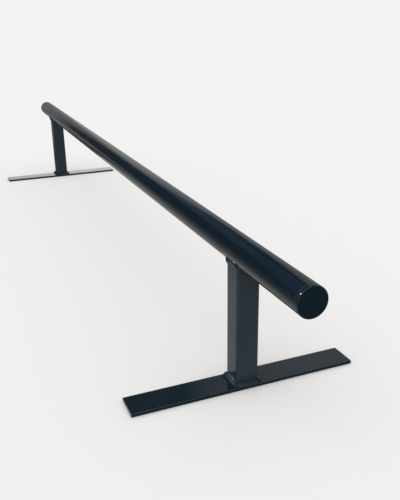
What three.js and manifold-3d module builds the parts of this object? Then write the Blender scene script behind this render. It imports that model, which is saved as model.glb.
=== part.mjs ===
// A free-standing grind rail for skateboards: one round steel tube on two square posts,
// each post welded to a flat foot that lies across the rail.
//
// Millimetres, +Z up. The origin is on the ground under the middle of the rail.
// +X runs along the tube and the feet run along Y. Left is the -X end and right the +X end,
// front is the -Y side, and outer and inner point away from and towards the rail's middle.

import * as THREE from 'three';
import { mergeVertices } from 'three/addons/utils/BufferGeometryUtils.js';
import Module from 'manifold-3d';

const wasm = await Module();
wasm.setup();

// Overall
const railLength = 2032; // over both end plugs
const railHeight = 260; // ground to the top of the tube
const postInset = 203.2; // end of the rail to the middle of a post

// Tube
const tubeDiameter = 48.3;
const tubeWall = 3.2;
const tubeEdge = 0.5; // deburred outer edge of each sawn end
const tubeSides = 64;

// Posts: square hollow section, sawn square at the foot and coped to the tube at the top
const postSide = 40;
const postWall = 3;
const postCorner = 4; // outer corner radius
const postCornerSteps = 5;

// Feet: flat bar
const footLength = 406.4;
const footWidth = 50.8;
const footThickness = 6.35;
const footEdge = 1.2; // rolled edge radius
const footEdgeSteps = 3;

// End plugs: a rim that covers the tube's end and a hollow finned spigot inside it
const plugRim = 5.5; // how far the rim stands out along the rail
const plugRimRound = 1.5;
const plugRimSteps = 4;
const plugSpigotLength = 24;
const plugSpigotWall = 2.4;
const plugFloor = 3.4; // thickness of the plug's end wall
const plugFinCount = 3;
const plugFinWidth = 1.8;
const plugFinHeight = 1.4;
const plugSides = 48;

// Welds
const footWeldLeg = 5; // fillet round the bottom of a post
const tubeWeldLeg = 4.6; // fillet between a post and the tube
const weldOvershoot = 3.4; // how far a front or back foot run goes on past the post's corner
const weldBulge = 0.9; // how far a bead stands proud of a straight fillet
const weldRippleHeight = 0.45;
const weldRipplePitch = 6;
const weldRoundSteps = 3;
const weldRootSteps = 2;
const weldStepsPerRipple = 4;
const weldTailLength = 3.2; // the rounded start and stop of a run
const weldTailShare = 0.45; // size of the bead where a run starts and stops
const saddleStopShort = 1.2; // how far an outer or inner tube run stops short of the post's corner

// Clearances
const seamGap = 0.3; // wherever a curved face lies against its neighbour
const cutOverrun = 10; // how far a cutting solid reaches past what it cuts

// Derived places
const tubeRadius = tubeDiameter / 2;
const boreRadius = tubeRadius - tubeWall;
const tubeAxisHeight = railHeight - tubeRadius;
const tubeLength = railLength - 2 * (plugRim + seamGap);
const postX = railLength / 2 - postInset;
const copeRadius = tubeRadius + seamGap;

// Paint and plastic
const paint = { color: 0x2b343c, roughness: 0.32, metalness: 0.1 };
const tubePaint = new THREE.MeshStandardMaterial({ ...paint, color: 0x232d38, roughness: 0.26 });
const postPaint = new THREE.MeshStandardMaterial({ ...paint });
const footPaint = new THREE.MeshStandardMaterial({ ...paint, color: 0x2a343a, roughness: 0.38 });
const weldPaint = new THREE.MeshStandardMaterial({ ...paint, color: 0x252e35, roughness: 0.3 });
const plugPlastic = new THREE.MeshStandardMaterial({ color: 0x131e24, roughness: 0.45, metalness: 0 });

const rail = new THREE.Group();

function addMesh(name, geometry, material, parent = rail) {
  const mesh = new THREE.Mesh(geometry, material);
  mesh.name = name;
  parent.add(mesh);
  return mesh;
}

// Points on an arc in a plane, from one angle to another, both ends included.
function arcPoints(centreU, centreV, radius, from, to, steps) {
  return Array.from({ length: steps + 1 }, (_, i) => {
    const angle = from + ((to - from) * i) / steps;
    return new THREE.Vector2(centreU + radius * Math.cos(angle), centreV + radius * Math.sin(angle));
  });
}

// A closed square outline with round corners, about the origin.
function roundedSquare(side, corner, steps) {
  const reach = side / 2 - corner;
  const turn = Math.PI / 2;
  const signs = [[1, 1], [-1, 1], [-1, -1], [1, -1]];
  return signs.flatMap(([u, v], i) => arcPoints(u * reach, v * reach, corner, i * turn, (i + 1) * turn, steps));
}

function toManifold(geometry) {
  const bare = geometry.clone();
  bare.deleteAttribute('normal');
  bare.deleteAttribute('uv');
  const merged = mergeVertices(bare);
  const mesh = new wasm.Mesh({
    numProp: 3,
    vertProperties: Float32Array.from(merged.attributes.position.array),
    triVerts: Uint32Array.from(merged.index.array),
  });
  return new wasm.Manifold(mesh);
}

function fromManifold(solid) {
  const mesh = solid.getMesh();
  const geometry = new THREE.BufferGeometry();
  geometry.setAttribute('position', new THREE.BufferAttribute(mesh.vertProperties, 3));
  geometry.setIndex(new THREE.BufferAttribute(mesh.triVerts, 1));
  return geometry;
}

// Joins a row of rings of 3-D points, all with the same count, into one closed solid.
// Each end is closed by a fan from the middle of its ring.
function loft(rings) {
  const size = rings[0].length;
  const last = rings.length - 1;
  const middles = [rings[0], rings[last]].map((ring) =>
    ring.reduce((sum, p) => sum.add(p), new THREE.Vector3()).divideScalar(size));
  const points = [...rings.flat(), ...middles];
  const startMiddle = rings.length * size;
  const endMiddle = startMiddle + 1;
  const index = [];
  for (let j = 0; j < size; j += 1) {
    const next = (j + 1) % size;
    for (let i = 0; i < last; i += 1) {
      const [a, b] = [i * size + j, i * size + next];
      const [c, d] = [a + size, b + size];
      index.push(a, b, d, a, d, c);
    }
    index.push(startMiddle, next, j);
    index.push(endMiddle, last * size + j, last * size + next);
  }
  const geometry = new THREE.BufferGeometry().setFromPoints(points);
  geometry.setIndex(index);
  if (signedVolume(geometry) < 0) {
    geometry.setIndex(index.reverse());
  }
  return geometry;
}

function signedVolume(geometry) {
  const position = geometry.attributes.position;
  const corners = [new THREE.Vector3(), new THREE.Vector3(), new THREE.Vector3()];
  let volume = 0;
  for (let i = 0; i < geometry.index.count; i += 3) {
    corners.forEach((corner, k) => corner.fromBufferAttribute(position, geometry.index.getX(i + k)));
    volume += corners[0].dot(corners[1].clone().cross(corners[2]));
  }
  return volume;
}

// The tube: a plain pipe, open from end to end, with its sawn edges taken off.
function makeTube() {
  const end = tubeLength / 2;
  const profile = [
    [boreRadius, -end],
    [tubeRadius - tubeEdge, -end],
    [tubeRadius, -end + tubeEdge],
    [tubeRadius, end - tubeEdge],
    [tubeRadius - tubeEdge, end],
    [boreRadius, end],
    [boreRadius, -end],
  ].map(([r, along]) => new THREE.Vector2(r, along));
  const tube = addMesh('rail_tube', new THREE.LatheGeometry(profile, tubeSides), tubePaint);
  tube.rotation.z = -Math.PI / 2;
  tube.position.z = tubeAxisHeight;
}

// An end plug, turned about its own axis: the rim's face is at zero and the spigot points to +.
function plugProfile() {
  const rim = arcPoints(tubeRadius - plugRimRound, plugRimRound, plugRimRound, -Math.PI / 2, 0, plugRimSteps);
  const finRadius = boreRadius - seamGap;
  const spigotRadius = finRadius - plugFinHeight;
  const finPitch = (plugSpigotLength - plugFinWidth) / plugFinCount;
  const fins = Array.from({ length: plugFinCount }, (_, i) => {
    const start = plugRim + (i + 1) * finPitch;
    return [
      [spigotRadius, start],
      [finRadius, start],
      [finRadius, start + plugFinWidth / 2],
      [spigotRadius, start + plugFinWidth],
    ];
  }).flat();
  const spigotEnd = plugRim + plugSpigotLength;
  const inside = spigotRadius - plugSpigotWall;
  const rest = [[tubeRadius, plugRim], [spigotRadius, plugRim], ...fins, [inside, spigotEnd], [inside, plugFloor], [0, plugFloor]];
  return [new THREE.Vector2(0, 0), ...rim, ...rest.map(([r, along]) => new THREE.Vector2(r, along))];
}

function makePlugs() {
  for (const [side, sign] of [['left', -1], ['right', 1]]) {
    const plug = addMesh(`end_plug_${side}`, new THREE.LatheGeometry(plugProfile(), plugSides), plugPlastic);
    plug.rotation.z = (sign * Math.PI) / 2;
    plug.position.set((sign * railLength) / 2, 0, tubeAxisHeight);
  }
}

// A post stands on the foot's top face, and a cylinder a seam wider than the tube copes its top.
function postGeometry() {
  const outline = new THREE.Shape(roundedSquare(postSide, postCorner, postCornerSteps));
  const innerCorner = Math.max(postCorner - postWall, seamGap);
  outline.holes.push(new THREE.Path(roundedSquare(postSide - 2 * postWall, innerCorner, postCornerSteps)));
  const blank = new THREE.ExtrudeGeometry(outline, { depth: tubeAxisHeight - footThickness, bevelEnabled: false });
  const cutter = new THREE.CylinderGeometry(copeRadius, copeRadius, postSide + 2 * cutOverrun, tubeSides);
  cutter.rotateZ(Math.PI / 2);
  cutter.translate(0, 0, tubeAxisHeight - footThickness);
  return fromManifold(toManifold(blank).subtract(toManifold(cutter)));
}

// A foot: flat bar with its rolled edges and sawn ends eased all round.
function footGeometry() {
  const [reachX, reachY] = [footWidth / 2, footLength / 2];
  const plan = new THREE.Shape([
    new THREE.Vector2(-reachX, -reachY),
    new THREE.Vector2(reachX, -reachY),
    new THREE.Vector2(reachX, reachY),
    new THREE.Vector2(-reachX, reachY),
  ]);
  const foot = new THREE.ExtrudeGeometry(plan, {
    depth: footThickness - 2 * footEdge,
    bevelThickness: footEdge,
    bevelSize: footEdge,
    bevelOffset: -footEdge,
    bevelSegments: footEdgeSteps,
  });
  foot.translate(0, 0, footEdge);
  return foot;
}

// How large the bead is at each place along a run: rounded tails, then a row of ripples.
// Returns pairs of the distance along the run and the bead's size there, as a share and a height.
function beadStations(length) {
  const ripples = Math.max(1, Math.round(length / weldRipplePitch));
  const steps = ripples * weldStepsPerRipple;
  return Array.from({ length: steps + 1 }, (_, i) => {
    const along = (length * i) / steps;
    const fromTail = Math.min(along, length - along, weldTailLength) / weldTailLength;
    const share = weldTailShare + (1 - weldTailShare) * Math.sqrt(1 - (1 - fromTail) ** 2);
    const ripple = (weldRippleHeight * (1 - Math.cos((2 * Math.PI * i) / weldStepsPerRipple))) / 2;
    return { along: along - length / 2, share, proud: weldBulge + ripple };
  });
}

// The outer curve of a bead between its two toes, bulged away from the root.
function beadFace(toeA, toeB, root, proud) {
  const middle = toeA.clone().add(toeB).divideScalar(2);
  const chord = toeB.clone().sub(toeA);
  const out = new THREE.Vector2(-chord.y, chord.x).normalize();
  if (out.dot(middle.clone().sub(root)) < 0) {
    out.negate();
  }
  return Array.from({ length: weldRoundSteps + 1 }, (_, i) => {
    const at = i / weldRoundSteps;
    return toeA.clone().addScaledVector(chord, at).addScaledVector(out, proud * Math.sin(Math.PI * at));
  });
}

// A fillet in a square corner: u runs out along one face and v up the other.
function filletSection(leg, { share, proud }) {
  const root = new THREE.Vector2(0, 0);
  const toeOut = new THREE.Vector2(leg * share, 0);
  const toeUp = new THREE.Vector2(0, leg * share);
  return [root, ...beadFace(toeOut, toeUp, root, proud * share)];
}

// A straight run against a post's face: the post is on its +Y side and the run goes along X.
function footRunGeometry(length) {
  return loft(beadStations(length).map((station) =>
    filletSection(footWeldLeg, station).map(({ x: out, y: up }) => new THREE.Vector3(station.along, -out, up))));
}

// A run on the post's front or back face, in the open groove under the tube's flank.
// v is measured from the tube's axis, so the tube's own surface is an arc about zero.
function flankSection({ share, proud }) {
  const face = postSide / 2;
  const rootAngle = -Math.acos(face / copeRadius);
  const reach = (tubeWeldLeg * share) / copeRadius;
  const underTube = arcPoints(0, 0, copeRadius, rootAngle, rootAngle + reach, weldRootSteps);
  const root = underTube[0];
  const toeTube = underTube[weldRootSteps];
  const toePost = new THREE.Vector2(face, root.y - tubeWeldLeg * share);
  return [...underTube, ...beadFace(toeTube, toePost, root, proud * share).slice(1)];
}

function flankRunGeometry(length) {
  return loft(beadStations(length).map((station) =>
    flankSection(station).map(({ x: out, y: up }) => new THREE.Vector3(station.along, -out, up))));
}

// A run on the post's outer or inner face: a fillet swept round the tube's underside.
// u is along the tube, away from the post, and v is away from the tube's axis.
function saddleRunGeometry() {
  const halfSweep = Math.asin((postSide / 2 - saddleStopShort) / copeRadius);
  const length = 2 * halfSweep * copeRadius;
  return loft(beadStations(length).map((station) => {
    const angle = station.along / copeRadius;
    return filletSection(tubeWeldLeg, station).map(({ x: out, y: away }) => {
      const radius = copeRadius + away;
      return new THREE.Vector3(out, radius * Math.sin(angle), -radius * Math.cos(angle));
    });
  }));
}

// One leg of the rail: a post, its foot and the eight runs of weld that hold them.
function makeLeg(side, sign) {
  const leg = new THREE.Group();
  leg.position.x = sign * postX;
  leg.rotation.z = sign > 0 ? 0 : Math.PI;
  rail.add(leg);
  addMesh(`foot_${side}`, footGeometry(), footPaint, leg);
  addMesh(`post_${side}`, postGeometry(), postPaint, leg).position.z = footThickness;

  const face = postSide / 2;
  const longRun = footRunGeometry(postSide + 2 * weldOvershoot);
  const shortRun = footRunGeometry(postSide - 2 * seamGap);
  const flankRun = flankRunGeometry(postSide - 2 * seamGap);
  const saddleRun = saddleRunGeometry();
  // The left leg is turned half round, so its front is the group's own back.
  const faces = sign > 0 ? ['front', 'outer', 'back', 'inner'] : ['back', 'outer', 'front', 'inner'];
  faces.forEach((name, quarter) => {
    const turn = (quarter * Math.PI) / 2;
    const across = quarter % 2 === 0;
    const footRun = addMesh(`foot_weld_${side}_${name}`, across ? longRun : shortRun, weldPaint, leg);
    footRun.rotation.z = turn;
    footRun.position.set(face * Math.sin(turn), -face * Math.cos(turn), footThickness);
    const tubeRun = addMesh(`tube_weld_${side}_${name}`, across ? flankRun : saddleRun, weldPaint, leg);
    tubeRun.rotation.z = across ? turn : turn - Math.PI / 2;
    tubeRun.position.set(across ? 0 : face * Math.sin(turn), 0, tubeAxisHeight);
  });
}

makeTube();
makePlugs();
makeLeg('left', -1);
makeLeg('right', 1);

export default rail;
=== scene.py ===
# %% [markdown]
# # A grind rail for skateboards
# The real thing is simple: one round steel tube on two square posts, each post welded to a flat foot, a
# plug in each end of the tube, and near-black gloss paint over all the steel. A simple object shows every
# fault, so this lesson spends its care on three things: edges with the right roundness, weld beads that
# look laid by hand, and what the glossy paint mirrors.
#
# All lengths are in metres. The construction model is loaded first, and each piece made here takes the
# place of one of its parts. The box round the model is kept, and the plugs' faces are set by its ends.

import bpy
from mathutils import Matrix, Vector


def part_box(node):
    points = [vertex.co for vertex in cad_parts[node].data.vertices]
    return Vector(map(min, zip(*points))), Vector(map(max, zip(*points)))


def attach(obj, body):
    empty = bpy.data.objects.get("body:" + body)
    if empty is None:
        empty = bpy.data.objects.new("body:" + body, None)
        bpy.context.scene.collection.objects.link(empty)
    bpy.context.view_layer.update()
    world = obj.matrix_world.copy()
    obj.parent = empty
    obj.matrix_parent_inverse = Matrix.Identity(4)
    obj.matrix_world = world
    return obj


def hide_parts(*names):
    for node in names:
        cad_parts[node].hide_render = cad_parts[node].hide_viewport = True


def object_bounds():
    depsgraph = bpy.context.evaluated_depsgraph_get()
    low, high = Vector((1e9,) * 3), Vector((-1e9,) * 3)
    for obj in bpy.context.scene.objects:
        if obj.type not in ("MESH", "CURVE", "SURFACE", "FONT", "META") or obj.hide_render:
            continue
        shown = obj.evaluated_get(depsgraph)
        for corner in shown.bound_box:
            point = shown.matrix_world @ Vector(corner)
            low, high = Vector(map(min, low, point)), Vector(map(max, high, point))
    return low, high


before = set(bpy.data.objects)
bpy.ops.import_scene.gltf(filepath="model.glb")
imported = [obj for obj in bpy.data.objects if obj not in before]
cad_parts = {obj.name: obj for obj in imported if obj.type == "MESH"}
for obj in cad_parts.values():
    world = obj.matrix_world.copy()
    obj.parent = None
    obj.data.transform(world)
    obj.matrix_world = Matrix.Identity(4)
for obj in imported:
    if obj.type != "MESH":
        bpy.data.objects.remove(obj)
cad_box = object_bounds()
print("construction model:", [tuple(round(v, 4) for v in corner) for corner in cad_box])

# %% [markdown]
# ## Tools
# Blender's own module is bpy. Next to it, bmesh builds meshes point by point, and mathutils has vectors,
# turns and smooth noise. Steel is measured in millimetres, so a millimetre gets a short name. The
# Standard view shows colours about as they are written, so a finish can be judged by its numbers.

# %% Tools for the rest of the lesson
import math

import bmesh
import bpy
from mathutils import Matrix, Quaternion, Vector, noise

MM = 0.001
scene = bpy.context.scene
scene.view_settings.view_transform = "Standard"


def add_object(name, data):
    """Makes an object of a mesh, a lamp or a camera, and puts it in the scene."""
    item = bpy.data.objects.new(name, data)
    scene.collection.objects.link(item)
    return item


print("one unit is", round(1 / MM), "mm")

# %% [markdown]
# ## Camera
# The picture was taken from beside the right-hand end, a little over half a metre above the ground. A
# camera can be placed by eye, but here the rail's straight edges were matched to the picture, which gives
# its place, where it points and how long its lens is. It was held a little crooked, so it has a small
# roll.

# %% Camera
CAMERA_PLACE = Vector((1.6387, -0.4090, 0.5854))
CAMERA_AIM = Vector((0.6309, 0.0, 0.1766))
CAMERA_ROLL = math.radians(-0.82)
CAMERA_LENS = 45.06
NEAREST = 10 * MM

camera = add_object("camera", bpy.data.cameras.new("camera"))
scene.camera = camera
camera.data.lens = CAMERA_LENS
camera.data.clip_start = NEAREST
camera.location = CAMERA_PLACE
camera.rotation_mode = "QUATERNION"
level_aim = (CAMERA_AIM - CAMERA_PLACE).to_track_quat("-Z", "Y")
camera.rotation_quaternion = level_aim @ Quaternion((0, 0, 1), CAMERA_ROLL)
print("camera stands", round((CAMERA_PLACE - CAMERA_AIM).length, 2), "m from what it aims at")

# %% [markdown]
# ## Floor
# A dark object reads best on a pale ground. A small floor would show its rim in low views, so this one is
# a very large panel. It stays a little under white, so the rail's soft shadow still shows on it.

# %% Floor
PALE_FLOOR = (0.896, 0.893, 0.886, 1)
FLOOR_REACH = 60.0


def new_material(name):
    """A new material, and its main shader."""
    material = bpy.data.materials.new(name)
    material.use_nodes = True
    return material, material.node_tree.nodes["Principled BSDF"]


def flat_panel(name, corners, colour):
    """A flat panel through the given corners, of one dull colour."""
    mesh = bpy.data.meshes.new(name)
    mesh.from_pydata([Vector(corner) for corner in corners], [], [range(len(corners))])
    panel = add_object(name, mesh)
    material, shader = new_material(name)
    shader.inputs["Base Color"].default_value = colour
    shader.inputs["Roughness"].default_value = 1.0
    shader.inputs["Specular IOR Level"].default_value = 0.0
    mesh.materials.append(material)
    return panel


def level_corners(x_range, y_range, height):
    """Corners of a level rectangle."""
    (west, east), (south, north) = x_range, y_range
    return [(west, south, height), (east, south, height), (east, north, height), (west, north, height)]


floor_range = (-FLOOR_REACH, FLOOR_REACH)
flat_panel("floor", level_corners(floor_range, floor_range, 0), PALE_FLOOR)
print("floor", 2 * FLOOR_REACH, "m across")

# %% [markdown]
# ## Pale room
# A room could be built from walls, but their corners would show. This one is a world of nearly the same
# tone as the floor, which hides the line where the two meet and lights the rail softly from all sides.

# %% Pale room
PALE_ROOM = (0.9, 0.897, 0.89, 1)

world = bpy.data.worlds.new("pale_room")
world.use_nodes = True
world.node_tree.nodes["Background"].inputs["Color"].default_value = PALE_ROOM
scene.world = world
print("the room's tone is", PALE_ROOM[0], "and the floor's", PALE_FLOOR[0])

# %% [markdown]
# ## What the gloss mirrors
# Near-black gloss paint has hardly any colour of its own. What the eye reads as its shape are mirror
# images: the floor along the tube's lower flank, a pale wall beyond the far end, something dark to the
# left, and dark blue overhead. An image of a real room could be wrapped round the scene. Plain cards are
# simpler and can be moved one at a time. Each is one even tone that shows in glossy paint alone, so it
# neither lights nor shades anything else.

# %% A card that shows only in gloss
def glow(name, corners, colour):
    """A card of one even tone that shows only in glossy paint."""
    card = flat_panel(name, corners, colour)
    tree = card.data.materials[0].node_tree
    # The card glows: what the gloss shows of it is a painted reflection, not a lamp's light.
    light = tree.nodes.new("ShaderNodeEmission")
    light.inputs["Color"].default_value = colour
    tree.links.new(light.outputs[0], tree.nodes["Material Output"].inputs["Surface"])
    card.visible_camera = False
    card.visible_diffuse = False
    card.visible_shadow = False
    card.visible_transmission = False
    return card


print("cards are hidden from the camera, from dull surfaces and from shadows")

# %% [markdown]
# ### Walls and ceiling
# These cards stand far off, so they look the same from all along the rail, and their corners are given as
# directions: degrees right of the tube's line, and degrees up. The tones were found by asking, for many
# places on the tube, in which direction it mirrors and how bright the picture is there. A card in front
# of another covers it, as sheets of paper do. Those that stand on the ground reach down a little past the
# horizon, so no gap shows above the floor.

# %% Walls and ceiling
BACKDROP = -40.0
BACKDROP_GAP = 0.1
RAIL_TOP = 0.25
BASE = -1.2
NEAR_BLACK = (0.04, 0.04, 0.06, 1)


def seen_from_rail(layer, name, colour, outline):
    """A far card. A higher layer stands in front of a lower one."""
    corners = []
    away = BACKDROP + BACKDROP_GAP * layer
    for sideways, up in outline:
        run = -away / math.cos(math.radians(sideways))
        right = run * math.sin(math.radians(sideways))
        corners.append((away, right, RAIL_TOP + run * math.tan(math.radians(up))))
    return glow(name, corners, colour)


# Each wall has a name, a tone, and an outline in degrees right and up.
walls = [
    ("pale_wall", (0.56, 0.556, 0.545, 1), [(-3, BASE), (24, BASE), (24, 50), (-3, 50)]),
    ("shade_wall", (0.47, 0.466, 0.46, 1), [(22, BASE), (60, BASE), (60, 50), (24, 50)]),
    ("bright_wall", (0.68, 0.676, 0.665, 1), [
        (9, 11.6), (16, 11), (18, 13), (15, 18), (11, 21), (4.5, 22), (3, 20), (5, 16)]),
    ("grey_wall", (0.34, 0.338, 0.333, 1), [
        (-22, BASE), (13, BASE), (12.5, 4), (10.3, 8.8), (7.2, 14), (3.5, 18), (0, 21.5), (-3, 24),
        (-22, 24)]),
    ("blue_ceiling", (0.15, 0.19, 0.37, 1), [
        (-70, 60), (-70, BASE), (-30, BASE), (-30, 18), (-6, 20), (-2, 22.5), (6, 25), (12, 24.5),
        (12, 60)]),
    ("deep_ceiling", (0.1, 0.12, 0.23, 1), [
        (6, 60), (7, 25), (12, 24.5), (17, 23), (24, 19.5), (28, 23), (27, 27), (22.5, 33), (22.5, 60)]),
    ("dark_ceiling", NEAR_BLACK, [(8, 60), (8, 29), (21.2, 29), (21.2, 60)]),
    ("upper_wall", (0.6, 0.6, 0.6, 1), [
        (21.2, 60), (21.2, 34), (23, 33), (27.5, 28), (45, 28), (45, 60)]),
    ("low_wall", (0.4, 0.398, 0.39, 1), [(-20, BASE), (-9, BASE), (-7, 9), (-20, 9)]),
    ("dark_side", NEAR_BLACK, [
        (-41, BASE), (-14.2, BASE), (-13.1, 1.3), (-12.4, 4), (-11.3, 6.6), (-9.9, 9), (-8.4, 11.3),
        (-6.5, 13.6), (-4.2, 16), (-3.3, 21), (-6, 24.5), (-14, 26), (-26, 26), (-32, 22), (-36, 15),
        (-39, 10), (-41, 6)]),
]
for layer, (name, colour, outline) in enumerate(walls):
    seen_from_rail(layer, name, colour, outline)
print(len(walls), "far cards")

# %% [markdown]
# ### Floor tones
# The flatter one looks along paint, the more it mirrors, so the floor's image is the strongest one. In
# the picture that floor is light near the rail, in shade on both sides of it, and darkest to the far
# left. Thin cards a millimetre or two above the floor give it those tones, and a narrow one is the shade
# in front of the near foot.

# %% Floor tones
LIGHT = (0.66, 0.655, 0.6, 1)
HALF_LIGHT = (0.5, 0.497, 0.486, 1)
SHADE = (0.24, 0.238, 0.235, 1)
FAR_SHADE = (0.29, 0.288, 0.284, 1)
DEEP_SHADE = (0.1, 0.1, 0.1, 1)
LOWER = MM
UPPER = 2 * MM
LIT_EDGE = -0.37
LIT_END = -0.76
BACK_EDGE = 0.35
NEAR_START = 0.4
EAST = 5.0
FAR = 39.0
DEEP_EDGE = -1.6
END_SHADE_RUN = (-1.5, LIT_END - 0.05)
END_SHADE_SIDES = (-0.4, 0.3)
FOOT_SHADE_DEPTH = 0.018
FOOT_SHADE_REACH = 0.21
RIGHT_EDGE = 0.25
RIGHT_START = -0.35
RIGHT_FAR_EDGE = 19.9
foot_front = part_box("foot_right")[1].x
foot_shade_run = (foot_front, foot_front + FOOT_SHADE_DEPTH)
foot_shade_sides = (-FOOT_SHADE_REACH, FOOT_SHADE_REACH)
right_outline = [
    (RIGHT_START, RIGHT_EDGE), (EAST, RIGHT_EDGE), (EAST, FAR), (-FAR, FAR), (-FAR, RIGHT_FAR_EDGE)]

floor_tones = [
    ("middle_floor", HALF_LIGHT, level_corners((LIT_END, NEAR_START), (LIT_EDGE, BACK_EDGE), LOWER)),
    ("near_floor", LIGHT, level_corners((NEAR_START, EAST), (LIT_EDGE, BACK_EDGE), LOWER)),
    ("back_floor", HALF_LIGHT, level_corners((-FAR, EAST), (BACK_EDGE, FAR), LOWER)),
    ("side_floor", SHADE, level_corners((LIT_END, EAST), (-FAR, LIT_EDGE), LOWER)),
    ("far_floor", FAR_SHADE, level_corners((-FAR, LIT_END), (-FAR, BACK_EDGE), LOWER)),
    ("left_floor", DEEP_SHADE, level_corners((-FAR, EAST), (-FAR, DEEP_EDGE), UPPER)),
    ("end_floor", DEEP_SHADE, level_corners(END_SHADE_RUN, END_SHADE_SIDES, UPPER)),
    ("foot_floor", DEEP_SHADE, level_corners(foot_shade_run, foot_shade_sides, UPPER)),
    ("right_floor", SHADE, [(x, y, UPPER) for x, y in right_outline]),
]
for name, colour, corners in floor_tones:
    glow(name, corners, colour)
print(len(floor_tones), "floor cards")

# %% [markdown]
# ## Daylight
# One wide, soft sun lamp gives the floor a faint shadow and the rail a light side. Several lamps could do
# it too, but their highlights would all show on the gloss. Together with the room it adds up to a plain
# level, at which a colour renders about as it is written.

# %% Daylight
SUN_STRENGTH = 0.12 * math.pi
SUN_WIDTH = math.radians(60)
SUN_TURN = (math.radians(25), math.radians(15), 0)

sun = add_object("daylight", bpy.data.lights.new("daylight", "SUN"))
sun.data.energy = SUN_STRENGTH
sun.data.angle = SUN_WIDTH
sun.rotation_euler = SUN_TURN
print("sun strength", round(SUN_STRENGTH, 3))

# %% [markdown]
# ## Helpers for finishes
# Every finish on the rail is a cousin of one paint. A few helpers for shader nodes come first: one adds a
# node and wires it up, one makes blotches of a given size, and the others spread, mix, multiply and
# emboss. A node can also be set up by hand in Blender's node editor, but six finishes by hand would not
# stay alike.

# %% Node helpers
NOISE_LOW = 0.3
NOISE_HIGH = 0.7


def add_node(tree, kind, inputs=None, **settings):
    """Adds a node, sets it up, and fills its inputs with values or with other nodes' outputs."""
    node = tree.nodes.new(kind)
    for name, value in settings.items():
        setattr(node, name, value)
    for socket, value in (inputs or {}).items():
        if isinstance(value, bpy.types.NodeSocket):
            tree.links.new(value, node.inputs[socket])
        else:
            node.inputs[socket].default_value = value
    return node


def speckle(tree, size, detail=2.0, roughness=0.5):
    """Noise whose blotches are about size metres across."""
    place = add_node(tree, "ShaderNodeTexCoord").outputs["Object"]
    inputs = {"Vector": place, "Scale": 1 / size, "Detail": detail, "Roughness": roughness}
    return add_node(tree, "ShaderNodeTexNoise", inputs).outputs["Fac"]


def spread(tree, value, low, high):
    """Spreads a noise, which stays near the middle, over the range from low to high."""
    inputs = {"Value": value, "From Min": NOISE_LOW, "From Max": NOISE_HIGH, "To Min": low, "To Max": high}
    return add_node(tree, "ShaderNodeMapRange", inputs).outputs["Result"]


def mix_colour(tree, share, first, second):
    """First colour where share is 0, second where it is 1."""
    # This node takes its colours at inputs 6 and 7, and gives one at output 2.
    inputs = {0: share, 6: first, 7: second}
    return add_node(tree, "ShaderNodeMix", inputs, data_type="RGBA").outputs[2]


def multiply(tree, first, second):
    """The product, kept between 0 and 1."""
    inputs = {0: first, 1: second}
    return add_node(tree, "ShaderNodeMath", inputs, operation="MULTIPLY", use_clamp=True).outputs[0]


def emboss(tree, height, depth, below=None):
    """Bumps of that depth, on top of other bumps if there are any below."""
    inputs = {"Height": height, "Distance": depth}
    if below is not None:
        inputs["Normal"] = below
    return add_node(tree, "ShaderNodeBump", inputs).outputs["Normal"]


print("noise is spread from", NOISE_LOW, "to", NOISE_HIGH)

# %% [markdown]
# ## Near-black gloss paint
# Close up, such paint is never quite even: its tone drifts slowly, it is worn thin along the edges, a
# little dust lies on whatever faces up, its skin has fine ripples like orange peel, and its gloss varies.
# One flat colour would look like plastic, and a photograph of paint would show seams. So every part of it
# is noise in the pieces' own coordinates, which is sharp at any distance. Wear follows a number called
# edge, which each mesh below keeps at its points: 1 on an edge, 0 on the flats. The worn tone is lighter
# than the paint, so it is also a painted highlight along the edges.

# %% Tone, wear and dust
DRIFT = 0.12
DRIFT_SIZE = 90 * MM
WEAR_AND_HIGHLIGHT_SIZE = 22 * MM
WEAR_AND_HIGHLIGHT_DETAIL = 5.0
LEAST_WEAR_AND_HIGHLIGHT = 0.2
# Worn edges turn this lighter tone, which also paints a highlight along them.
WORN_AND_HIGHLIT_EDGE = (0.09, 0.1, 0.105, 1)
DUST_SIZE = 2.5 * MM
DUST_DETAIL = 6.0
DUST_HARDNESS = 0.7
DUST = (0.2, 0.2, 0.19, 1)


def drifting_tone(tree, colour):
    """A colour that drifts a little darker and lighter."""
    darker = (*[c * (1 - DRIFT) for c in colour], 1)
    lighter = (*[c * (1 + DRIFT) for c in colour], 1)
    return mix_colour(tree, spread(tree, speckle(tree, DRIFT_SIZE), 0.0, 1.0), darker, lighter)


def worn_and_highlit_share(tree, wear_and_highlight):
    """How much of the paint is worn, and lit by a painted highlight: in patches, and only on edges."""
    on_edge = add_node(tree, "ShaderNodeAttribute", attribute_name="edge").outputs["Fac"]
    patches = spread(tree, speckle(tree, WEAR_AND_HIGHLIGHT_SIZE, WEAR_AND_HIGHLIGHT_DETAIL), LEAST_WEAR_AND_HIGHLIGHT, 1.0)
    return multiply(tree, multiply(tree, on_edge, patches), wear_and_highlight)


def dust_share(tree, dust):
    """How much dust lies on the paint: specks, and only on what faces up."""
    normal = add_node(tree, "ShaderNodeNewGeometry").outputs["Normal"]
    facing_up = add_node(tree, "ShaderNodeSeparateXYZ", {0: normal}).outputs["Z"]
    specks = spread(tree, speckle(tree, DUST_SIZE, DUST_DETAIL, DUST_HARDNESS), 0.0, 1.0)
    return multiply(tree, multiply(tree, facing_up, specks), dust)


print("worn patches", round(WEAR_AND_HIGHLIGHT_SIZE / MM), "mm across, specks of dust", round(DUST_SIZE / MM, 1), "mm")

# %% [markdown]
# ### How paint mirrors
# How strongly paint mirrors is set by its index of refraction. Common gloss paint has about 1.5, but the
# picture's tones only fit together with a weaker mirror, near 1.3. That number goes straight into the
# shader's own socket. Roughness varies over the surface, so it comes from nodes, and both wear and dust
# make it rougher.

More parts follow.
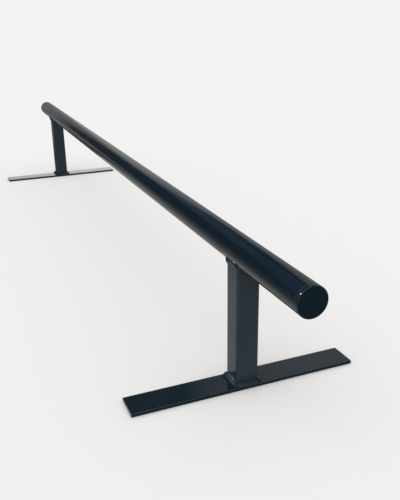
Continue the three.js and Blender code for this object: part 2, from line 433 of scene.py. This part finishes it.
# %% Paint
PAINT_IOR = 1.33
GLOSS_SIZE = 30 * MM
GLOSS_DETAIL = 3.0
GLOSS_DRIFT = 0.025
WORN_ROUGHNESS = 0.2
DUST_ROUGHNESS = 0.8
PEEL_SIZE = 3.2 * MM
PEEL_DETAIL = 1.0
GRAIN_SIZE = 0.5 * MM
GRAIN_DEPTH = 0.003 * MM


def paint(name, colour, roughness, peel_depth, wear_and_highlight, dust, extra_grain=0.0, ior=PAINT_IOR):
    """Near-black paint. Wear with its painted edge highlight, and dust, are shares; the depths are in
    metres.
    """
    material, shader = new_material(name)
    tree = material.node_tree
    shader.inputs["IOR"].default_value = ior

    worn_and_highlit = worn_and_highlit_share(tree, wear_and_highlight)
    dusty = dust_share(tree, dust)
    # Edges turn lighter here: wear, and a painted highlight.
    tone = mix_colour(tree, worn_and_highlit, drifting_tone(tree, colour), WORN_AND_HIGHLIT_EDGE)
    tone = mix_colour(tree, dusty, tone, DUST)
    tree.links.new(tone, shader.inputs["Base Color"])

    blotches = speckle(tree, GLOSS_SIZE, GLOSS_DETAIL)
    gloss = spread(tree, blotches, roughness - GLOSS_DRIFT, roughness + GLOSS_DRIFT)
    for share, more in ((worn_and_highlit, WORN_ROUGHNESS), (dusty, DUST_ROUGHNESS)):
        rougher = {0: share, 1: more, 2: gloss}
        gloss = add_node(tree, "ShaderNodeMath", rougher, operation="MULTIPLY_ADD").outputs[0]
    tree.links.new(gloss, shader.inputs["Roughness"])

    skin = emboss(tree, speckle(tree, PEEL_SIZE, PEEL_DETAIL), peel_depth)
    skin = emboss(tree, speckle(tree, GRAIN_SIZE), GRAIN_DEPTH + extra_grain, skin)
    tree.links.new(skin, shader.inputs["Normal"])
    print(name, "has", len(tree.nodes), "nodes")
    return material


# %% [markdown]
# ## Helpers for pieces
# Each piece is a mesh made of rings of points that are joined by quads. Blender's ready shapes could be
# bent into most of them, but not into a saddle or a weld. Flats and curves meet at edges that stay sharp,
# and the rest is shaded smooth. The same helper gives a mesh its edge numbers and its paint, and hides the
# construction part that it stands for.

# %% From points to pieces
SMOOTH_BELOW = 35


def ring_faces(ring_count, size, closed=False):
    """Quads between neighbouring rings of points; closed joins the last ring to the first."""
    faces = []
    for i in range(ring_count if closed else ring_count - 1):
        here = i * size
        there = (i + 1) % ring_count * size
        for j in range(size):
            k = (j + 1) % size
            faces.append((here + j, here + k, there + k, there + j))
    return faces


def add_piece(name, mesh, node, material, edge_of=None, smooth=SMOOTH_BELOW):
    """Makes an object of a mesh, shades it, and lets it stand for a construction node."""
    work = bmesh.new()
    work.from_mesh(mesh)
    bmesh.ops.recalc_face_normals(work, faces=work.faces)
    work.to_mesh(mesh)
    work.free()
    mesh.shade_smooth()
    mesh.set_sharp_from_angle(angle=math.radians(smooth))
    marks = mesh.attributes.new("edge", "FLOAT", "POINT")
    if edge_of:
        marks.data.foreach_set("value", [edge_of(point.co) for point in mesh.vertices])
    mesh.materials.append(material)
    piece = add_object(name, mesh)
    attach(piece, "root")
    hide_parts(node)
    return piece


print("two rings of eight points are joined by", len(ring_faces(2, 8)), "quads")

# %% [markdown]
# ### Round edges
# Two more helpers deal with rounding. One gives the points of an arc. The other tells, for a point of a
# block with round edges, how far round an edge it lies, which is where the paint wears first and where a
# painted highlight lightens it.

# %% Round edges
EDGE_CLIMB = 0.7


def corner_share(place, low, high, radius):
    """How far a point is round an edge of a box with round edges: 0 on the flats, 1 on the edge."""
    gaps = sorted(min(place[i] - low[i], high[i] - place[i]) for i in range(3))
    return max(0.0, min(1.0, (1 - gaps[1] / radius) / EDGE_CLIMB))


def arc(centre_u, centre_v, radius, start, end, steps):
    """Points on an arc, both ends included."""
    angles = [start + (end - start) * i / steps for i in range(steps + 1)]
    return [(centre_u + radius * math.cos(a), centre_v + radius * math.sin(a)) for a in angles]


print("an arc of 4 steps has", len(arc(0, 0, 1, 0, math.pi / 2, 4)), "points")

# %% [markdown]
# ## Sizes
# Sizes could be written out again here, but two sets of numbers drift apart. So the tube, the posts and
# the feet are measured on the construction model.

# %% Sizes measured on the construction model
tube_low, tube_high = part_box("rail_tube")
tube_radius = (tube_high.z - tube_low.z) / 2
tube_end = tube_high.x
axis_height = (tube_high.z + tube_low.z) / 2
rail_end = cad_box[1].x
post_low, post_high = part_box("post_right")
post_half = (post_high.y - post_low.y) / 2
post_x = (post_high.x + post_low.x) / 2
foot_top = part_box("foot_right")[1].z
print("tube", round(2 * tube_radius / MM, 1), "mm thick, its middle", round(axis_height / MM, 1), "mm up")
print("posts", round(2 * post_half / MM, 1), "mm square,", round(2 * post_x / MM, 1), "mm apart")

# %% [markdown]
# ## Tube
# This is the part that is ridden: a steel tube, 3.2 mm thick, cut square at both ends. A cylinder would
# do from far away. Here a profile of the wall is spun about the tube's middle, so the cut ends get a thin
# round edge that catches light, and the bore is real. It has many sides, because the mirror images along
# it show every flat.

# %% Tube
TUBE_SIDES = 160
TUBE_WALL = 3.2 * MM
TUBE_EDGE = 0.5 * MM
TUBE_EDGE_STEPS = 4
EDGE_RUN_UP = 3 * MM
bore = tube_radius - TUBE_WALL


def lathe(name, profile, sides):
    """Spins (along X, radius) pairs about the tube's middle. A closed profile repeats its first point."""
    points = []
    rings = {}
    for x, r in profile:
        if (x, r) in rings:
            continue
        turns = [2 * math.pi * i / sides for i in range(sides)] if r > 0 else [0.0]
        rings[x, r] = range(len(points), len(points) + len(turns))
        points += [(x, -r * math.sin(turn), axis_height + r * math.cos(turn)) for turn in turns]
    faces = []
    for start, end in zip(profile, profile[1:]):
        here, there = rings[start], rings[end]
        for i in range(sides):
            j = i + 1
            near = [here[i % len(here)], here[j % len(here)]]
            far = [there[j % len(there)], there[i % len(there)]]
            # On the middle line two corners are the same point, and the face is a triangle.
            faces.append(list(dict.fromkeys(near + far)))
    mesh = bpy.data.meshes.new(name)
    mesh.from_pydata(points, [], faces)
    return mesh


tube_paint = paint(
    "tube_paint", (0.0056, 0.0135, 0.0200), roughness=0.10, peel_depth=0.012 * MM, wear_and_highlight=0.3, dust=0.002,
    ior=1.28)
outside = [(tube_end - EDGE_RUN_UP, tube_radius)]
outside += arc(
    tube_end - TUBE_EDGE, tube_radius - TUBE_EDGE, TUBE_EDGE, math.pi / 2, 0, TUBE_EDGE_STEPS)
tube_profile = [(-x, r) for x, r in reversed(outside)] + outside
tube_profile += [(tube_end, bore), (-tube_end, bore), tube_profile[0]]
tube = add_piece(
    "painted_tube", lathe("painted_tube", tube_profile, TUBE_SIDES), "rail_tube", tube_paint,
    lambda p: 1.0 if abs(p.x) > tube_end - TUBE_EDGE else 0.0)
print("tube:", len(tube.data.polygons), "faces")

# %% [markdown]
# ## End plugs
# A moulded plug closes each end: a flush cap with a rounded rim, and a hollow spigot that grips the bore.
# A disc would close the tube too, but it has no rim to catch the light. The plug is turned on the same
# lathe as the tube, from its own outline. Its face is dished by a third of a millimetre, as plastic
# shrinks when it cools.

# %% Outline of a plug
RIM_ROUND = 1.5 * MM
RIM_STEPS = 8
RIM_LAND = 0.2 * MM
RIM_WIDTH = 2.6 * MM
FACE_SLOPE = 1.0 * MM
FACE_DISH = 0.35 * MM
PLUG_GAP = 0.3 * MM
SPIGOT_PLAY = 1.7 * MM
SPIGOT_LENGTH = 24 * MM
SPIGOT_WALL = 2.4 * MM
CAP_THICKNESS = 3.4 * MM


def plug_profile(side):
    """The plug's outline from the middle of its face to the middle of its hollow."""
    rim_back = tube_end + PLUG_GAP
    rim_start = rail_end - RIM_ROUND
    face_edge = tube_radius - RIM_WIDTH
    spigot = bore - SPIGOT_PLAY
    hollow = rail_end - CAP_THICKNESS
    dished = rail_end - FACE_DISH
    outline = [(dished, 0.0), (dished, face_edge - FACE_SLOPE), (rail_end, face_edge)]
    outline += arc(rim_start, tube_radius - RIM_ROUND, RIM_ROUND, 0, math.pi / 2, RIM_STEPS)
    outline += [(rim_start - RIM_LAND, tube_radius), (rim_back, tube_radius), (rim_back, spigot)]
    outline += [(rim_back - SPIGOT_LENGTH, spigot), (rim_back - SPIGOT_LENGTH, spigot - SPIGOT_WALL)]
    outline += [(hollow, spigot - SPIGOT_WALL), (hollow, 0.0)]
    return [(side * x, r) for x, r in outline]


print("a plug's outline has", len(plug_profile(1)), "points")

# %% [markdown]
# ### Two finishes from one mould
# In the picture the cap's face is flat and dull while its rim has a bright glint. So the plug gets two
# finishes: a grained face, and a polished rim and side. They are told apart by how far a face lies from
# the tube's middle line.

# %% End plugs
SIDES = (("left", -1), ("right", 1))
PLUG_SIDES = 128
RIM_EDGE_BAND = 1.2 * MM
POLISH_MARGIN = 0.1 * MM
GRAINED_SPECULAR = 0.08
POLISHED_PLACE = 1


def from_axis(place):
    """Distance from the tube's middle line."""
    return math.hypot(place.y, place.z - axis_height)


def on_rim(place):
    """1 on the rim, which gets rubbed and carries the painted edge highlight, 0 elsewhere."""
    return 1.0 if from_axis(place) > tube_radius - RIM_EDGE_BAND and abs(place.x) > rail_end - RIM_EDGE_BAND else 0.0


grained = paint(
    "plug_plastic", (0.0028, 0.0110, 0.0188), roughness=0.5, peel_depth=0.010 * MM, wear_and_highlight=0.3, dust=0.004,
    extra_grain=0.012 * MM)
grained.node_tree.nodes["Principled BSDF"].inputs["Specular IOR Level"].default_value = GRAINED_SPECULAR
polished = paint(
    "plug_rim_gloss", (0.0056, 0.0130, 0.0185), roughness=0.14, peel_depth=0.008 * MM, wear_and_highlight=0.2,
    dust=0.002, ior=1.3)

plugs = []
for name, side in SIDES:
    plug = add_piece(
        f"moulded_plug_{name}", lathe(f"moulded_plug_{name}", plug_profile(side), PLUG_SIDES),
        f"end_plug_{name}", grained, on_rim)
    plug.data.materials.append(polished)
    for face in plug.data.polygons:
        if from_axis(face.center) > tube_radius - RIM_ROUND - POLISH_MARGIN:
            face.material_index = POLISHED_PLACE
    plugs.append(plug)
print("plug:", len(plugs[0].data.polygons), "faces")

# %% [markdown]
# ## Posts
# Each post is square hollow steel. Its corners are rounder than one expects, because such tube is rolled
# from a round one: 4 mm here, which gives the post a soft line between its light and dark faces. A square
# with round corners is drawn first. Points are added along its flats, so that the top can follow a curve.

# %% Outline of a post
POST_CORNER = 4 * MM
CORNER_STEPS = 8
POST_SPACING = 2.5 * MM


def rounded_square(half, corner, steps):
    """A closed square outline with round corners, anticlockwise about the origin."""
    reach = half - corner
    outline = []
    for quarter, (u, v) in enumerate([(1, 1), (-1, 1), (-1, -1), (1, -1)]):
        start = quarter * math.pi / 2
        outline += arc(u * reach, v * reach, corner, start, start + math.pi / 2, steps)
    return outline


def subdivided(outline, longest):
    """Adds points to a closed outline, until no stretch is longer than that."""
    points = []
    for (u, v), (u2, v2) in zip(outline, outline[1:] + outline[:1]):
        parts = max(1, math.ceil(math.hypot(u2 - u, v2 - v) / longest))
        points += [(u + (u2 - u) * i / parts, v + (v2 - v) * i / parts) for i in range(parts)]
    return points


post_outline = subdivided(rounded_square(post_half, POST_CORNER, CORNER_STEPS), POST_SPACING)
print("a post's outline has", len(post_outline), "points")

# %% [markdown]
# ### Wall and saddle
# The top of a post is cut to a saddle that fits the round tube. A cube with a bevel has neither the
# hollow nor the saddle, so the wall is built from four rings: outside low and high, inside high and low.
# Both ends are hidden by welds, so only the upright corners count as edges that wear and carry the
# painted highlight.

# %% Posts
POST_WALL = 3 * MM
SEAM = 0.3 * MM
FAR_ENOUGH = 1
cope_radius = tube_radius + SEAM


def cope_height(y):
    """Height of the saddle that fits the tube, at a distance from the post's middle."""
    return axis_height - math.sqrt(cope_radius ** 2 - y ** 2)


def make_post(name, x):
    """One post: a wall between an outer and an inner outline."""
    shrink = (post_half - POST_WALL) / post_half
    inner = [(u * shrink, v * shrink) for u, v in post_outline]
    rings = [[Vector((x + u, v, foot_top)) for u, v in post_outline]]
    rings += [[Vector((x + u, v, cope_height(v))) for u, v in outline] for outline in (post_outline, inner)]
    rings += [[Vector((x + u, v, foot_top)) for u, v in inner]]
    mesh = bpy.data.meshes.new(f"painted_post_{name}")
    points = [point for ring in rings for point in ring]
    mesh.from_pydata(points, [], ring_faces(len(rings), len(post_outline), closed=True))
    low = Vector((x - post_half, -post_half, -FAR_ENOUGH))
    high = Vector((x + post_half, post_half, FAR_ENOUGH))
    return add_piece(
        mesh.name, mesh, f"post_{name}", post_paint,
        lambda p: corner_share(p, low, high, POST_CORNER))


# The post's copy of the paint is lighter than the tube's: painted light, since all the steel has one paint.
post_paint = paint(
    "post_paint", (0.0098, 0.0224, 0.0346), roughness=0.24, peel_depth=0.020 * MM, wear_and_highlight=0.25, dust=0.004)
posts = [make_post(name, side * post_x) for name, side in SIDES]
print("post:", len(posts[0].data.polygons), "faces")

# %% [markdown]
# ## Feet
# The feet are two pieces of flat bar that lie across the rail. Rolled bar has slightly round edges, and
# these draw the thin line along the front of the near foot. A block gets its size from the construction
# part, all its edges are bevelled, and weighted normals keep the large faces looking flat.

# %% Feet
FOOT_EDGE = 1.2 * MM
FOOT_EDGE_STEPS = 4
ROUND_PROFILE = 0.5
FOOT_SMOOTH_BELOW = 60


def make_foot(name):
    """One foot: a block with round edges."""
    low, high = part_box(f"foot_{name}")
    work = bmesh.new()
    bmesh.ops.create_cube(work, size=1)
    # The cube runs from -0.5 to 0.5 each way.
    for point in work.verts:
        point.co = Vector([low[i] + (point.co[i] + 0.5) * (high[i] - low[i]) for i in range(3)])
    bmesh.ops.bevel(
        work,
        geom=work.edges[:] + work.verts[:],
        offset=FOOT_EDGE,
        segments=FOOT_EDGE_STEPS,
        profile=ROUND_PROFILE,
        affect="EDGES",
    )
    mesh = bpy.data.meshes.new(f"painted_foot_{name}")
    work.to_mesh(mesh)
    work.free()
    piece = add_piece(
        mesh.name, mesh, f"foot_{name}", foot_paint,
        lambda p: corner_share(p, low, high, FOOT_EDGE), FOOT_SMOOTH_BELOW)
    piece.modifiers.new("flat faces stay flat", "WEIGHTED_NORMAL")
    return piece


# The foot's copy of the paint is lighter than the tube's: painted light, since all the steel has one paint.
foot_paint = paint(
    "foot_paint", (0.0066, 0.0165, 0.0255), roughness=0.16, peel_depth=0.015 * MM, wear_and_highlight=0.4, dust=0.006)
feet = [make_foot(name) for name, side in SIDES]
print("foot:", len(feet[0].data.polygons), "faces")

# %% [markdown]
# ## Weld beads
# A run of weld is a row of frozen puddles, each overlapping the last. It stands a little proud of the
# corner it fills, is lumpy where the welder started and stopped, and is never quite straight. Bumps in a
# material can't give it an outline, so each run is a real mesh. The first helper says how large the bead
# is at each place along its run, and the second how far it swells there, with its ripples.

# %% Shape of a bead
TAIL = 4 * MM
TAIL_SHARE = 0.3
STOP_LUMP = 0.3
STOP_LUMP_PLACE = 4 * MM
STOP_LUMP_WIDTH = 2.5 * MM
SIZE_DRIFT = 0.16
SIZE_DRIFT_PITCH = 9 * MM
SIZE_LAYER = 0.5
BULGE = 0.9 * MM
RIPPLE_HEIGHT = 1.3 * MM
RIPPLE_PITCH = 5.5 * MM
RIPPLE_BOW = 1.8 * MM
WOBBLE = 1.2 * MM
WOBBLE_PITCH = 6 * MM
WOBBLE_LAYER = 2.5
GRIT = 0.5 * MM
GRIT_PITCH = 1.5 * MM
GRITS_ACROSS = 4


def bead_size(along, length, seed):
    """The bead's size at a place on its run, as a share of its full leg."""
    to_end = min(along, length - along)
    from_tip = max(0, min(to_end, TAIL)) / TAIL
    rounded = TAIL_SHARE + (1 - TAIL_SHARE) * math.sqrt(1 - (1 - from_tip) ** 2)
    lump = STOP_LUMP * math.exp(-((to_end - STOP_LUMP_PLACE) / STOP_LUMP_WIDTH) ** 2)
    drift = SIZE_DRIFT * noise.noise(Vector((along / SIZE_DRIFT_PITCH, seed, SIZE_LAYER)))
    return rounded * (1 + lump + drift)


def bead_swell(along, across, seed):
    """How far the bead stands out of a straight fillet, with its ripples."""
    crown = math.sin(math.pi * across)
    bowed = along - RIPPLE_BOW * crown
    bowed += WOBBLE * noise.noise(Vector((bowed / WOBBLE_PITCH, seed, WOBBLE_LAYER)))
    share = (bowed / RIPPLE_PITCH) % 1
    scallop = 1 - (2 * share - 1) ** 2
    grit = GRIT * noise.noise(Vector((along / GRIT_PITCH, across * GRITS_ACROSS, seed)))
    return BULGE * crown + (RIPPLE_HEIGHT * scallop + grit) * math.sqrt(crown)


crests = [bead_swell(step * MM, across=0.5, seed=1) / MM for step in range(20)]
print("a bead swells", round(min(crests), 1), "to", round(max(crests), 1), "mm along its crown")

# %% [markdown]
# ### Sections of a bead
# A bead's cross-section depends on what it joins. At the foot, and on the post's sides that face along
# the tube, the two surfaces meet at a right angle, and a plain fillet does. On the other two sides the
# post's upright face meets the tube's round flank at a slant, so that section starts on the tube's
# circle. Each section sinks a little into the steel, so no gap can show.

# %% Sections of a bead
TUBE_LEG = 4.6 * MM
ACROSS = 12
SINK = 0.4 * MM
EACH_WAY = math.sqrt(0.5)


def fillet_ring(leg, along, length, seed, proud=1.0):
    """Points (out, up) round a bead in a square corner, from the buried root and back to it."""
    size = leg * bead_size(along, length, seed)
    points = []
    for i in range(ACROSS + 1):
        across = i / ACROSS
        lift = proud * bead_swell(along, across, seed) * size / leg * EACH_WAY
        points.append((size * (1 - across) + lift, size * across + lift))
    points[0] = (points[0][0], -SINK)
    points[-1] = (-SINK, points[-1][1])
    return [(-SINK, -SINK)] + points


def flank_ring(along, length, seed):
    """Points (out, up from the tube's middle) round a bead between a post's face and the tube's flank."""
    size = TUBE_LEG * bead_size(along, length, seed)
    root_angle = -math.acos(post_half / cope_radius)
    toe_angle = root_angle + size / cope_radius
    toe_tube = Vector((math.cos(toe_angle), math.sin(toe_angle))) * (tube_radius - SINK / 2)
    root_up = cope_radius * math.sin(root_angle)
    chord = Vector((post_half - SINK, root_up - size)) - toe_tube
    out = Vector((chord.y, -chord.x)).normalized()
    if out.x < 0:
        out.negate()
    points = [(post_half - SINK, root_up + SINK)]
    for i in range(ACROSS + 1):
        across = i / ACROSS
        swell = bead_swell(along, across, seed) * size / TUBE_LEG
        points.append(tuple(toe_tube + chord * across + out * swell))
    return points


print("a section has", len(flank_ring(0, post_half, seed=1)), "points")

# %% [markdown]
# ### Paths of the beads
# Three kinds of path carry the runs: straight along a face at the post's foot, straight along the tube's
# flank at its top, and bent round the tube's underside. Each path is a function that returns the ring of
# points at a place on the run, with the run's length. The runs at the foot are of two kinds: long ones
# that reach past the post's corners, and short, flatter ones between them.

# %% Paths of the beads
LONG_LEG = 5.5 * MM
OVERSHOOT = 2.6 * MM
SHORT_LEG = 5 * MM
SHORT_PROUD = 0.4
SADDLE_STOP = 1.2 * MM
half_sweep = math.asin((post_half - SADDLE_STOP) / cope_radius)


def foot_path(overshoot, leg, proud=1.0):
    """A run along the foot of one face."""
    length = 2 * (post_half + overshoot)

    def ring_at(along, seed):
        section = fillet_ring(leg, along, length, seed, proud)
        return [Vector((along - length / 2, -out, up)) for out, up in section]

    return ring_at, length


def flank_path():
    """A run along the tube's flank."""
    length = 2 * (post_half - SEAM)

    def ring_at(along, seed):
        section = flank_ring(along, length, seed)
        return [Vector((along - length / 2, -out, up)) for out, up in section]

    return ring_at, length


def saddle_path():
    """A run bent round the tube's underside."""
    length = 2 * half_sweep * cope_radius

    def ring_at(along, seed):
        angle = (along - length / 2) / cope_radius
        ring = []
        for out, away in fillet_ring(TUBE_LEG, along, length, seed):
            radius = cope_radius + away
            ring.append(Vector((out, radius * math.sin(angle), -radius * math.cos(angle))))
        return ring

    return ring_at, length


long_run = foot_path(OVERSHOOT, LONG_LEG)
short_run = foot_path(-SEAM, SHORT_LEG, SHORT_PROUD)
flank_run = flank_path()
saddle_run = saddle_path()
lengths = [round(length / MM, 1) for ring_at, length in (long_run, short_run, flank_run, saddle_run)]
print("long, short, flank and saddle runs:", lengths, "mm")

# %% [markdown]
# ### From path to bead
# Blender can sweep one outline along a curve, but it would stay the same all the way. Here each step
# along the run gets a ring of its own, so the ripples, the lumps and the tapered ends all come out as
# shape.

# %% From path to bead
STEPS_PER_RIPPLE = 8
FEWEST_STEPS = 8
BEAD_SMOOTH_BELOW = 70


def lay_bead(name, node, path, place, seed):
    """Sweeps a bead's rings along its run, closes both ends, and puts it in its place."""
    ring_at, length = path
    steps = max(FEWEST_STEPS, round(length / (RIPPLE_PITCH / STEPS_PER_RIPPLE)))
    rings = [[place @ point for point in ring_at(length * i / steps, seed)] for i in range(steps + 1)]
    size = len(rings[0])
    faces = ring_faces(len(rings), size)
    faces += [tuple(range(size)), tuple(range(steps * size, (steps + 1) * size))]
    mesh = bpy.data.meshes.new(name)
    mesh.from_pydata([point for ring in rings for point in ring], [], faces)
    return add_piece(name, mesh, node, weld_paint, smooth=BEAD_SMOOTH_BELOW)


# The welds' copy of the paint is lighter than the tube's: painted light, since all the steel has one paint.
weld_paint = paint(
    "weld_paint", (0.0078, 0.0178, 0.0270), roughness=0.14, peel_depth=0.012 * MM, wear_and_highlight=0.2, dust=0.004,
    extra_grain=0.01 * MM)

# %% [markdown]
# ### Laying the beads
# Each leg has eight runs: four round the post's foot and four round its top. They are laid as on the
# bench, face by face, and the runs at the foot overlap at the post's corners. Every run has its own seed,
# so no two look alike.

# %% Laying the beads
LEG_SEEDS = 10
TOP_SEED = 0.5


def turned(angle):
    """A turn about the vertical."""
    return Matrix.Rotation(angle, 4, "Z")


def weld_leg(side_name, side):
    """The eight runs of one leg, beginning on the face that its front turns to."""
    leg = Matrix.Translation((side * post_x, 0, 0)) @ turned(0 if side > 0 else math.pi)
    faces = ["front", "outer", "back", "inner"] if side > 0 else ["back", "outer", "front", "inner"]
    runs = []
    for quarter, face in enumerate(faces):
        end = f"{side_name}_{face}"
        turn = quarter * math.pi / 2
        beside_tube = quarter % 2 == 0
        seed = LEG_SEEDS * side + quarter
        foot_of_face = Vector((post_half * math.sin(turn), -post_half * math.cos(turn), foot_top))
        place = leg @ Matrix.Translation(foot_of_face) @ turned(turn)
        path = long_run if beside_tube else short_run
        runs.append(lay_bead(f"bead_foot_{end}", f"foot_weld_{end}", path, place, seed))

        if beside_tube:
            path = flank_run
            place = leg @ Matrix.Translation((0, 0, axis_height)) @ turned(turn)
        else:
            path = saddle_run
            top_of_face = Matrix.Translation((post_half * math.sin(turn), 0, axis_height))
            place = leg @ top_of_face @ turned(turn - math.pi / 2)
        runs.append(lay_bead(f"bead_tube_{end}", f"tube_weld_{end}", path, place, seed + TOP_SEED))
    return runs


beads = [bead for name, side in SIDES for bead in weld_leg(name, side)]
print(len(beads), "beads, the first with", len(beads[0].data.polygons), "faces")

# %% [markdown]
# ## Glints
# Small bright lamps make the sparks of light on the plug's rim and on the lumps of the welds. On the long
# tube the same lamps would draw hard white marks from every side, so each is linked to the pieces it is
# for. To place one, take the line from a shiny spot to the camera and mirror it about the way the spot
# faces: the lamp goes there.

# %% Glints
LAMP_DISTANCE = 2.0
RIM_SPOT = Vector((1.013, -0.02, 0.247))
RIM_TO_LAMP = Vector((-0.347, -0.714, 0.61))
BEAD_SPOT = Vector((0.8128, -0.022, 0.01))
BEAD_TO_LAMP = Vector((-0.766, -0.533, 0.358))


def linked_lamp(name, place, back, shape, size, watts, pieces):
    """A lamp that lights those pieces only. Its back points in the given direction."""
    lamp = add_object(name, bpy.data.lights.new(name, "AREA"))
    lamp.data.shape = shape
    lamp.data.size, lamp.data.size_y = size
    lamp.data.energy = watts
    lamp.location = place
    lamp.rotation_mode = "QUATERNION"
    lamp.rotation_quaternion = back.to_track_quat("Z", "Y")
    lamp.visible_diffuse = False
    lamp.visible_camera = False
    lit = bpy.data.collections.new(name)
    for piece in pieces:
        lit.objects.link(piece)
    lamp.light_linking.receiver_collection = lit
    return lamp


near_beads = [bead for bead in beads if bead.name.startswith("bead_foot_right")]
high_beads = [bead for bead in beads if bead.name.startswith("bead_tube")]
# Each has a name, a shiny spot, the way from there to the lamp, its width, its watts, and its pieces.
glints = [
    ("rim_lamp", RIM_SPOT, RIM_TO_LAMP, 0.35, 150, plugs),
    ("foot_bead_lamp", BEAD_SPOT, BEAD_TO_LAMP, 0.25, 50, near_beads),
    ("tube_bead_lamp", BEAD_SPOT, BEAD_TO_LAMP, 0.4, 16, high_beads),
]
for name, spot, to_lamp, width, watts, pieces in glints:
    place = spot + to_lamp.normalized() * LAMP_DISTANCE
    linked_lamp(name, place, to_lamp, "DISK", (width, width), watts, pieces)
print(len(glints), "lamps for glints")

# %% [markdown]
# ### Light behind the far foot
# The far foot is seen so flat that its top mirrors only what stands right behind it. A low strip of light
# stands there, and it too is linked to its piece alone. As a card, such a strip would also show as a
# white streak along the tube's underside.

# %% Light behind the far foot
STRIP_PLACE = (-0.85, 0, 13.5 * MM)
STRIP_LENGTH = 0.48
STRIP_HEIGHT = 21 * MM
STRIP_BRIGHTNESS = 1.3

strip_back = Vector((-1, 0, 0))
strip_size = (STRIP_LENGTH, STRIP_HEIGHT)
strip_watts = STRIP_BRIGHTNESS * math.pi * STRIP_LENGTH * STRIP_HEIGHT
linked_lamp("foot_strip", STRIP_PLACE, strip_back, "RECTANGLE", strip_size, strip_watts, feet[:1])
print("a strip of light", STRIP_LENGTH, "m long behind the far foot")
